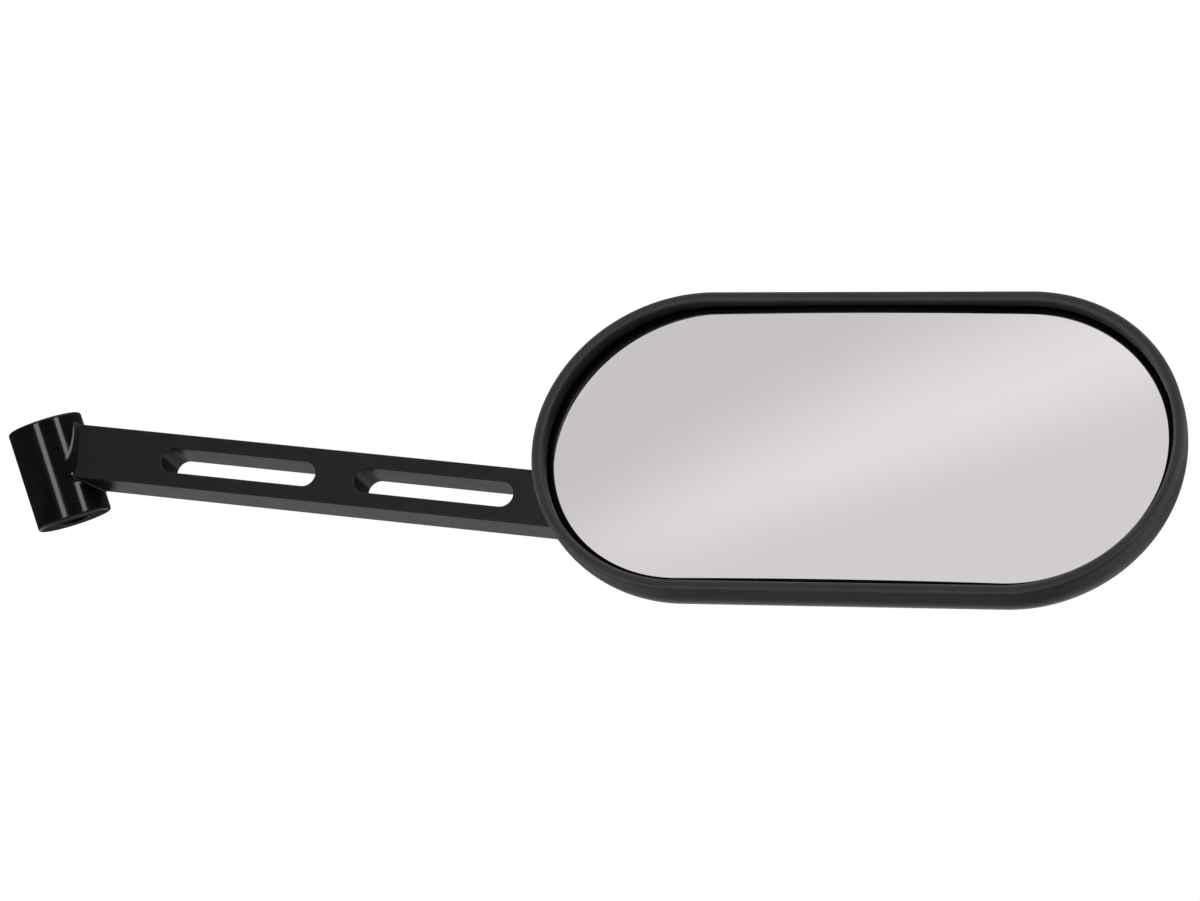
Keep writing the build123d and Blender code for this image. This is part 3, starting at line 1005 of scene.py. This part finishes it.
class MIRROR_OT_stud(Operator):
    """Turn the ball stud with its hexagon and its thread"""

    bl_idname = "mirror.stud"
    bl_label = "Ball Stud"

    def execute(self, context):
        stem = context.scene.mirror_stem
        joint = context.scene.mirror_joint
        ball = joint.ball_diameter / 2
        neck = joint.neck_diameter / 2
        crest = joint.shank_diameter / 2
        root = crest - joint.thread_depth
        hex_low = -joint.stud_reach + joint.face_clear
        hex_high = -joint.stud_reach + joint.hex_thickness
        back = nut_back(stem, joint)
        tail = back - joint.shank_tail
        thread_top = -joint.stud_reach - stem.bar_thickness
        neck_angle = math.degrees(math.asin(neck / ball))
        foot = neck * 1.25
        profile = arc((0, 0), ball, ball, 90, neck_angle - 90, steps=40)
        profile += [
            Vector((neck, hex_high + neck / 4)),
            Vector((foot, hex_high)),
            Vector((foot, hex_low)),
            Vector((crest, hex_low)),
            Vector((crest, thread_top)),
            Vector((root, thread_top - joint.thread_depth)),
            Vector((root, tail + joint.thread_depth / 2)),
            Vector((root - joint.thread_depth / 2, tail)),
            Vector((0, tail)),
        ]
        body = joined(
            turned(profile, steps=96, closed=False),
            hexagon_body(joint.hex_width, neck, hex_low, hex_high),
        )
        place = stud_place(stem, joint)
        steel = finish("plated_steel")
        mesh = as_mesh("stud", body, place)
        add_piece("stud", mesh, "stud", steel, ["ball_stud"])
        run = thread_top - joint.thread_depth - tail - joint.shank_point
        wide = THREAD_ROOT * joint.thread_pitch
        narrow = THREAD_CREST * joint.thread_pitch
        ridge = [(-joint.thread_depth, -wide), (0, -narrow), (0, narrow), (-joint.thread_depth, wide)]
        turns = run / joint.thread_pitch
        points = int(turns * THREAD_STEPS)
        thread = swept_mesh(
            "thread",
            coil_tree(),
            ridge,
            True,
            {"Radius": crest, "Turns": turns, "Rise": run, "Points": points, "Material": steel},
        )
        thread.transform(place @ Matrix.Translation((0, 0, tail + joint.shank_point)))
        add_piece("thread", thread, "stud", steel)
        return {"FINISHED"}


def nut_back(stem, joint):
    """Where the nut ends, along the stud."""
    stack = joint.washer_thickness + joint.lock_thickness + joint.nut_thickness
    return -(joint.stud_reach + stem.bar_thickness + joint.face_clear + stack)


class MIRROR_OT_fastening(Operator):
    """Make the plain washer, the split washer and the nut behind the bar"""

    bl_idname = "mirror.fastening"
    bl_label = "Washers and Nut"

    def execute(self, context):
        stem = context.scene.mirror_stem
        joint = context.scene.mirror_joint
        place = stud_place(stem, joint)
        steel = finish("plated_steel")
        bore = joint.shank_diameter / 2
        hole = bore + joint.shank_clear
        washer_z = -(joint.stud_reach + stem.bar_thickness + joint.face_clear)
        lock_z = washer_z - joint.washer_thickness
        nut_z = lock_z - joint.lock_thickness
        edge = joint.washer_thickness / 8
        profile = rounded_block(hole, joint.washer_diameter / 2, lock_z, washer_z, edge)
        washer = as_mesh("plain_washer", turned(profile, steps=96), place)
        add_piece("plain_washer", washer, "stud", steel, ["stud_washer"])

        wall = joint.lock_diameter / 2 - hole
        middle = hole + wall / 2
        half = joint.lock_thickness / 2
        section = rounded_block(-wall / 2, wall / 2, -half, half, edge)
        split = joint.lock_gap / (2 * math.pi * middle)
        lock = swept_mesh(
            "split_washer",
            coil_tree(),
            section,
            True,
            {"Radius": middle, "Turns": 1 - split, "Rise": 0.0, "Points": 96, "Material": steel},
        )
        turn = Matrix.Rotation(math.pi * split, 4, "Z")
        lock.transform(place @ Matrix.Translation((0, 0, lock_z - half)) @ turn)
        add_piece("split_washer", lock, "stud", steel, ["spring_washer"])

        back = nut_back(stem, joint)
        body = hexagon_body(joint.nut_width, bore, back, nut_z)
        nut = as_mesh("hex_nut", body, place)
        add_piece("hex_nut", nut, "stud", steel, ["stud_nut"])
        return {"FINISHED"}


def oval_mesh(name, head, profile, radius, closed, points, crown, material):
    """A plain mesh of a profile (outwards, up) that runs round the head's oval.

    radius is where the path runs, points how many it has and crown the radius that the result follows.
    """
    values = {
        "Half Straight": (head.glass_width - head.glass_height) / 2,
        "Radius": radius,
        "Points": points,
        "Crown Radius": crown,
        "Material": material,
    }
    return swept_mesh(name, oval_sweep_tree(), [(out - radius, up) for out, up in profile], closed, values)


class MIRROR_OT_shell(Operator):
    """Mould the head's oval shell with its rim, its domed back and its ball socket"""

    bl_idname = "mirror.shell"
    bl_label = "Head Shell"

    def execute(self, context):
        head = context.scene.mirror_head
        joint = context.scene.mirror_joint
        opening = head.glass_height / 2 + head.seal_width
        outer = opening + head.rim_width - HAIR
        front = head.rim_rise
        side = front - head.side_depth
        back = front - head.depth
        ledge = front - head.ledge_depth
        inner = opening - head.ledge_width
        flat = RIM_FLAT * head.rim_round
        profile = arc((0, side), outer, side - back, -90, 0, steps=48)
        profile += rounded(
            [
                (outer, front - 2 * head.rim_round, 0),
                (outer, front, head.rim_round),
                (outer - flat, front, 0),
                (opening + flat, front, 0),
                (opening, front, head.rim_round),
                (opening, ledge, 0),
            ]
        )
        profile += arc((0, ledge), inner, ledge - back - head.wall, 0, -90, steps=36)
        material = finish("shell_moulded_plastic")
        swept = oval_mesh("shell", head, profile, outer, False, SHELL_POINTS, FLAT_CROWN, material)
        swept.transform(head_place(head.rise))
        shell = self.opened(swept, joint, head)
        add_piece("shell", shell, "head", material, ["head_shell"])
        self.add_boss(joint, head, material)
        return {"FINISHED"}

    def opened(self, mesh, joint, head):
        """The dome with a round hole behind the ball, which the boss then lines."""
        radius = joint.socket_radius + joint.socket_wall / 2
        profile = [(0, -head.depth), (radius, -head.depth), (radius, 0), (0, 0)]
        cut_mesh = as_mesh("socket_cut", turned(profile, steps=96, closed=False), head_place())
        cut = bpy.data.objects.new("socket_cut", cut_mesh)
        shell = bpy.data.objects.new("shell_swept", mesh)
        for obj in (cut, shell):
            bpy.context.scene.collection.objects.link(obj)
        hole = shell.modifiers.new("socket", "BOOLEAN")
        hole.operation = "DIFFERENCE"
        hole.solver = "EXACT"
        hole.object = cut
        result = evaluated_mesh(shell, "shell")
        bpy.data.objects.remove(cut)
        bpy.data.meshes.remove(cut_mesh)
        return result

    def add_boss(self, joint, head, material):
        """The socket's boss and the fillet between it and the dome."""
        place = head_place()
        pocket = joint.socket_radius
        wall = pocket + joint.socket_wall
        mouth_z = -pocket * math.cos(joint.mouth_angle)
        mouth_r = pocket * math.sin(joint.mouth_angle)
        end = mouth_z - joint.mouth_depth
        flare = mouth_r + joint.mouth_depth * math.tan(joint.mouth_flare)
        edge = joint.socket_wall / 4
        low = math.degrees(joint.mouth_angle) - 90
        high = math.degrees(math.asin(joint.seat_front / pocket))
        profile = rounded(
            [
                (mouth_r, mouth_z, 0),
                (flare, end, edge),
                (wall, end, edge),
                (wall, joint.seat_front, 0),
            ]
        )
        profile += arc((0, 0), pocket, pocket, high, low, steps=24)[:-1]
        boss = as_mesh("socket_boss", turned(profile, steps=128), place)
        add_piece("socket_boss", boss, "head", material)

        outer = head.glass_height / 2 + head.seal_width + head.rim_width
        side = head.rim_rise - head.side_depth
        fall = head.depth - head.side_depth
        steps = 128
        turns = [2 * math.pi * i / steps for i in range(steps)]
        circle = [Vector((math.cos(a), math.sin(a), 0)) for a in turns]

        def land(point):
            """Where a line along the boss meets the dome."""
            across = (point.y - head.rise) / outer
            return Vector((point.x, point.y, side - fall * math.sqrt(1 - across * across)))

        section = [direction * wall for direction in circle]
        body = fillet_ring(section, circle, land, Vector((0, 0, -1)), head.boss_fillet, head.boss_fillet)
        fillet = as_mesh("boss_fillet", body, place)
        add_piece("boss_fillet", fillet, "head", material)


class MIRROR_OT_seal(Operator):
    """Run the rubber seal round the glass"""

    bl_idname = "mirror.seal"
    bl_label = "Glass Seal"

    def execute(self, context):
        head = context.scene.mirror_head
        inner = head.glass_height / 2
        outer = inner + head.seal_width
        grip = inner + head.seal_grip
        lip = head.seal_lip
        foot = -(head.glass_thickness + lip)
        profile = rounded(
            [
                (inner, 0, 0),
                (inner, lip, lip * LIP_ROUND_INSIDE),
                (outer, lip, lip * LIP_ROUND_OUTSIDE),
                (outer, foot, 0),
                (grip, foot, 0),
                (grip, 0, 0),
            ]
        )
        # The seal's finish is black rubber with painted shade of the rim's recess
        rubber = finish("seal_gloss_rubber")
        mesh = oval_mesh("seal", head, profile, inner, True, GLASS_POINTS, head.glass_radius, rubber)
        mesh.transform(glass_place(head))
        add_piece("seal", mesh, "head", rubber, ["glass_seal"])
        return {"FINISHED"}


class MIRROR_OT_glass(Operator):
    """Grind the convex glass"""

    bl_idname = "mirror.glass"
    bl_label = "Mirror Glass"

    def execute(self, context):
        head = context.scene.mirror_head
        edge = head.glass_height / 2 + head.seal_grip
        bevel = head.glass_thickness / 6
        across = 36
        face = [(edge - bevel) * i / across for i in range(across + 1)]
        profile = [(r, 0) for r in face]
        profile += [(edge, -bevel), (edge, bevel - head.glass_thickness)]
        profile += [(r, -head.glass_thickness) for r in reversed(face)]
        silvered = finish("silvered_glass")
        mesh = oval_mesh("glass", head, profile, edge, False, GLASS_POINTS, head.glass_radius, silvered)
        mesh.transform(glass_place(head))
        add_piece("glass", mesh, "head", silvered, ["mirror_glass"])
        return {"FINISHED"}


class MIRROR_OT_inner_parts(Operator):
    """Give the pieces inside the head their finishes"""

    bl_idname = "mirror.inner_parts"
    bl_label = "Inner Parts"

    def execute(self, context):
        finishes = {
            "seat": finish("seat_acetal"),
            "retainer": finish("plated_steel"),
            "carrier": finish("carrier_plastic"),
            "pad": finish("foam_sheet"),
        }
        for name, node in frame["nodes"].items():
            for word, material in finishes.items():
                if word in name:
                    node.data.materials.clear()
                    node.data.materials.append(material)
        return {"FINISHED"}


def lamp_receivers(name, piece, state):
    """What a lamp lights: this piece alone, or all but this piece."""
    group = bpy.data.collections.new(name)
    group.objects.link(piece)
    group.collection_objects[0].light_linking.link_state = state
    return group


class MIRROR_OT_stage(Operator):
    """Set the floor, the light and the camera"""

    bl_idname = "mirror.stage"
    bl_label = "Stage"

    def execute(self, context):
        stage = context.scene.mirror_stage
        self.add_floor(stage)
        self.set_world(context.scene, stage)
        self.add_lamps(stage)
        self.add_camera(context.scene, stage)
        context.scene.view_settings.view_transform = "Standard"
        return {"FINISHED"}

    def add_floor(self, stage):
        """A pale disc that keeps the mirror's shadow and is plain white further out."""
        centre = (FLOOR_CENTRE_X, 0, -stage.floor_drop)
        radius = stage.clear_radius
        body = turned([(0, 0), (radius, 0), (stage.floor_radius, 0)], steps=96, closed=False)
        mesh = as_mesh("floor", body, Matrix.Translation(centre))
        floor = bpy.data.objects.new("floor", mesh)
        bpy.context.scene.collection.objects.link(floor)
        material = bpy.data.materials.new("floor_white")
        material.use_nodes = True
        tree = material.node_tree
        tree.nodes.clear()
        where = add_node(tree, "ShaderNodeTexCoord").outputs["Object"]
        path = add_node(tree, "ShaderNodeLightPath").outputs
        away = vector_maths(tree, "DISTANCE", where, centre, "Value")

        # Near the mirror: a matt floor, pale to the camera and darker to the light that it throws back
        cloud = add_node(tree, "ShaderNodeTexNoise", {"Vector": where, "Scale": FLOOR_CLOUDS}).outputs[0]
        pale = ramp(tree, cloud, target=FLOOR_PALE)
        colour = ramp(tree, path["Is Camera Ray"], target=(FLOOR_BOUNCE, pale))
        matt = add_node(tree, "ShaderNodeBsdfDiffuse", {"Color": colour}).outputs[0]

        # Further out: white, and in reflections a glow that fades outwards
        fade = ramp(tree, away, tuple(radius * share for share in GLOW_REACH), GLOW_LEVELS)
        glow = ramp(tree, path["Is Glossy Ray"], target=(1.0, fade))
        white = add_node(tree, "ShaderNodeEmission", {"Color": WHITE, "Strength": glow}).outputs[0]

        far = ramp(tree, away, tuple(radius * share for share in WHITE_REACH), smooth=True)
        seen = maths(tree, "MAXIMUM", path["Is Camera Ray"], path["Is Glossy Ray"])
        through = maths(tree, "MAXIMUM", seen, path["Is Transmission Ray"])
        whiteness = maths(tree, "MULTIPLY", through, far)
        mixed = add_node(tree, "ShaderNodeMixShader", {0: whiteness, 1: matt, 2: white})
        add_node(tree, "ShaderNodeOutputMaterial", {"Surface": mixed.outputs[0]})
        mesh.materials.append(material)

    def set_world(self, scene, stage):
        """A pale studio, white to the camera, with dark walls and a banded ceiling in reflections."""
        world = bpy.data.worlds.new("pale_studio")
        scene.world = world
        world.use_nodes = True
        tree = world.node_tree
        tree.nodes.clear()
        heading = add_node(tree, "ShaderNodeTexCoord").outputs["Generated"]
        path = add_node(tree, "ShaderNodeLightPath").outputs

        def region(axis, low, high):
            """From 0 to 1 as the direction turns towards an axis."""
            facing = vector_maths(tree, "DOT_PRODUCT", heading, axis, "Value")
            return ramp(tree, facing, (low, high), smooth=True)

        before_band = ramp(tree, region(*BAND_START), target=(CEILING_FRONT, CEILING_BAND))
        ceiling = ramp(tree, region(*BAND_END), target=(before_band, CEILING_BACK))
        studio = ramp(tree, region(*CEILING), target=(STUDIO_WALLS, ceiling))
        mirrored = ramp(tree, path["Is Glossy Ray"], target=(stage.ambient, studio))
        clear = maths(tree, "MAXIMUM", path["Is Camera Ray"], path["Is Transmission Ray"])
        level = ramp(tree, clear, target=(mirrored, 1.0))
        glow = add_node(tree, "ShaderNodeBackground", {"Color": WHITE, "Strength": level})
        add_node(tree, "ShaderNodeOutputWorld", {"Surface": glow.outputs[0]})

    def add_lamps(self, stage):
        """Soft lamps on the mirror, strip lamps for the collar's bright lines and a wall for the glass."""
        glass = bpy.data.objects["glass"]
        all_but_glass = lamp_receivers("all_but_glass", glass, "EXCLUDE")
        glass_alone = lamp_receivers("glass_alone", glass, "INCLUDE")
        middle = Vector((0.16, -0.03, 0.02))
        collar = Vector((0, 0, 0.02))
        key = stage.key_power
        right = stage.side_power
        left = stage.side_power * LEFT_SHARE
        strip = stage.strip_power
        wall = stage.wall_level * WATTS_PER_LEVEL * WALL_SIZE[0] * WALL_SIZE[1]
        # Name, target, direction from it, distance, width and height, power, what is to reflect it
        lamps = [
            ("key_lamp", middle, (-0.05, -0.55, 0.83), 1.3, (1.0, 0.8), key, None),
            ("side_lamp_right", middle, (0.9, 0.4, 0.06), 1.2, (0.6, 0.6), right, None),
            ("side_lamp_left", middle, (-0.8, -0.2, -0.1), 1.2, (0.6, 0.4), left, None),
            ("strip_lamp_left", collar, (-0.0936, -0.989, 0.1066), 1.1, (0.24, 0.8), strip, all_but_glass),
            ("strip_lamp_right", collar, (0.775, -0.479, 0.409), 1.1, (0.23, 0.8), strip, all_but_glass),
            ("pale_wall", middle, (-0.25, -0.933, 0.259), 3.0, WALL_SIZE, wall, glass_alone),
        ]
        for name, target, direction, distance, (wide, tall), power, reflected_in in lamps:
            light = bpy.data.lights.new(name, "AREA")
            light.shape = "RECTANGLE"
            light.size = wide
            light.size_y = tall
            light.energy = power
            lamp = bpy.data.objects.new(name, light)
            towards = Vector(direction)
            lamp.location = target + towards.normalized() * distance
            lamp.rotation_mode = "QUATERNION"
            lamp.rotation_quaternion = towards.to_track_quat("Z", "Y")
            lamp.visible_camera = False
            lamp.visible_diffuse = reflected_in is None
            lamp.visible_glossy = reflected_in is not None
            lamp.light_linking.receiver_collection = reflected_in
            bpy.context.scene.collection.objects.link(lamp)

    def add_camera(self, scene, stage):
        """Camera at the photograph's place."""
        lens = bpy.data.cameras.new("camera")
        lens.sensor_width = SENSOR_WIDTH
        lens.lens = stage.camera_lens
        lens.clip_start, lens.clip_end = CAMERA_CLIP
        camera = bpy.data.objects.new("camera", lens)
        camera.location = (stage.camera_x, -stage.camera_back, stage.camera_z)
        camera.rotation_euler = (math.pi / 2, 0, stage.camera_heading)
        scene.collection.objects.link(camera)
        scene.camera = camera


STEPS = (
    MIRROR_OT_collar,
    MIRROR_OT_bar,
    MIRROR_OT_weld,
    MIRROR_OT_stud,
    MIRROR_OT_fastening,
    MIRROR_OT_shell,
    MIRROR_OT_seal,
    MIRROR_OT_glass,
    MIRROR_OT_inner_parts,
    MIRROR_OT_stage,
)

SETTINGS = {
    "mirror_stem": MIRROR_PG_stem,
    "mirror_joint": MIRROR_PG_joint,
    "mirror_head": MIRROR_PG_head,
    "mirror_finish": MIRROR_PG_finish,
    "mirror_stage": MIRROR_PG_stage,
}


class MIRROR_PT_panel(Panel):
    """Sizes, colours and build steps of the mirror"""

    bl_idname = "MIRROR_PT_panel"
    bl_label = "Oval Mirror"
    bl_space_type = "VIEW_3D"
    bl_region_type = "UI"
    bl_category = "Mirror"

    def draw(self, context):
        for step in STEPS:
            self.layout.operator(step.bl_idname)
        for name, group in SETTINGS.items():
            box = self.layout.box()
            for field in group.__annotations__:
                box.prop(getattr(context.scene, name), field)


CLASSES = tuple(SETTINGS.values()) + STEPS + (MIRROR_PT_panel,)


def register():
    for item in CLASSES:
        bpy.utils.register_class(item)
    for name, group in SETTINGS.items():
        setattr(bpy.types.Scene, name, PointerProperty(type=group))


def unregister():
    for name in SETTINGS:
        delattr(bpy.types.Scene, name)
    for item in reversed(CLASSES):
        bpy.utils.unregister_class(item)


def main():
    register()
    bpy.ops.mirror.collar()
    bpy.ops.mirror.bar()
    bpy.ops.mirror.weld()
    bpy.ops.mirror.stud()
    bpy.ops.mirror.fastening()
    bpy.ops.mirror.shell()
    bpy.ops.mirror.seal()
    bpy.ops.mirror.glass()
    bpy.ops.mirror.inner_parts()
    bpy.ops.mirror.stage()


if __name__ == "__main__":
    main()
